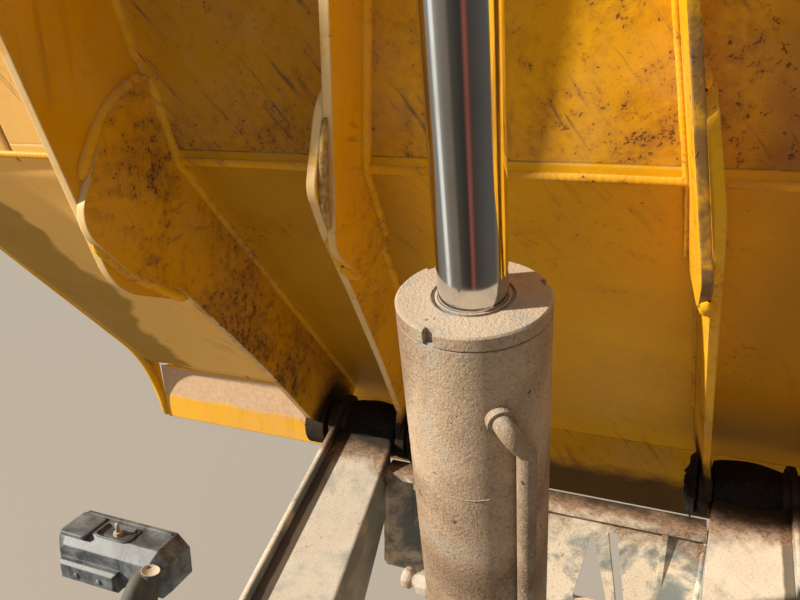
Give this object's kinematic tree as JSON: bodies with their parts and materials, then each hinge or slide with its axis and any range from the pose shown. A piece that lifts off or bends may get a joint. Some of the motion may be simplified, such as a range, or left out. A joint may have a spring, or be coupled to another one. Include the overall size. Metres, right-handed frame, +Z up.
{
  "type": "tipping skip unit of a swivel site dumper",
  "caption": "Swivelling front-tip skip with its hinge frame, tip ram, slew ring and work lamps, from a site dumper.",
  "frame": {"origin": "centre of the slew ring's lower face, where it bolts to the chassis", "axes": "+Z up, +Y the way the skip tips out, +X to the machine's right when looking along +Y"},
  "size_m": [2.308, 1.3646, 2.1282],
  "materials": {
    "yellow_paint": "weathered yellow paint with rust specks, streaks and dust",
    "frame_paint": "grey paint under sand coloured dust and rust stains",
    "ram_paint": "pale paint under dry sand coloured dust, stained brown",
    "chrome_rod": "polished hard chrome",
    "pin_steel": "dark greased steel",
    "ring_steel": "dark oiled steel",
    "black_plastic": "worn black plastic with dust and scuffs",
    "lamp_glass": "clear lens"
  },
  "bodies": {
    "slew_base": {"slew_ring_fixed": "ring_steel"},
    "swivel_frame": {"slew_ring_turning": "ring_steel", "turntable_plate": "frame_paint", "arm_box_left": "frame_paint", "arm_box_right": "frame_paint", "arm_outer_plate_left": "frame_paint", "arm_outer_plate_right": "frame_paint", "arm_hinge_eye_left": "frame_paint", "arm_hinge_eye_right": "frame_paint", "hinge_pin_left": "pin_steel", "hinge_pin_right": "pin_steel", "cross_member": "frame_paint", "ram_foot_clevis": "ram_paint", "ram_foot_pin": "pin_steel", "lamp_stalk_left": "frame_paint", "lamp_stalk_right": "frame_paint", "lamp_housing_left": "black_plastic", "lamp_housing_right": "black_plastic", "lamp_lens_left": "lamp_glass", "lamp_lens_right": "lamp_glass"},
    "skip": {"skip_front_floor": "yellow_paint", "skip_bottom": "yellow_paint", "skip_back": "yellow_paint", "skip_wall_left": "yellow_paint", "skip_wall_right": "yellow_paint", "skip_corner_left": "yellow_paint", "skip_corner_right": "yellow_paint", "skip_lip": "yellow_paint", "skip_rim_left": "yellow_paint", "skip_rim_right": "yellow_paint", "skip_rim_back": "yellow_paint", "rib_left_outer_upper": "yellow_paint", "rib_left_outer_lower": "yellow_paint", "rib_left_inner_upper": "yellow_paint", "rib_left_inner_lower": "yellow_paint", "rib_right_inner_upper": "yellow_paint", "rib_right_inner_lower": "yellow_paint", "rib_right_outer_upper": "yellow_paint", "rib_right_outer_lower": "yellow_paint", "ram_head_bracket": "yellow_paint", "ram_head_pin": "pin_steel"},
    "ram_cylinder": {"ram_barrel": "ram_paint", "ram_base_eye": "ram_paint", "ram_gland": "ram_paint", "ram_oil_pipe": "ram_paint"},
    "ram_piston_rod": {"ram_rod": "chrome_rod", "ram_rod_eye": "ram_paint"}
  },
  "joints": [
    {"name": "swivel", "type": "hinge", "parent": "slew_base", "child": "swivel_frame", "pos_m": [0, 0, 0.04], "axis": [0, 0, 1], "range_deg": [-90, 90]},
    {"name": "skip_tip", "type": "hinge", "parent": "swivel_frame", "child": "skip", "pos_m": [0, 0.656, 0.42], "axis": [-1, 0, 0], "range_deg": [-60, 4]},
    {"name": "ram_foot", "type": "hinge", "parent": "swivel_frame", "child": "ram_cylinder", "pos_m": [0, 0.2358, 0.1977], "axis": [-1, 0, 0], "range_deg": [-69.2, 4.7]},
    {"name": "ram_extend", "type": "slide", "parent": "ram_cylinder", "child": "ram_piston_rod", "axis": [0, -0.2576, 0.9662], "range_m": [-0.4435, 0.03]}
  ],
  "couplings": [
    {"joint": "ram_foot", "follows": "skip_tip", "ratio": 1.1525},
    {"joint": "ram_extend", "follows": "skip_tip", "m_per_rad": 0.42335}
  ]
}
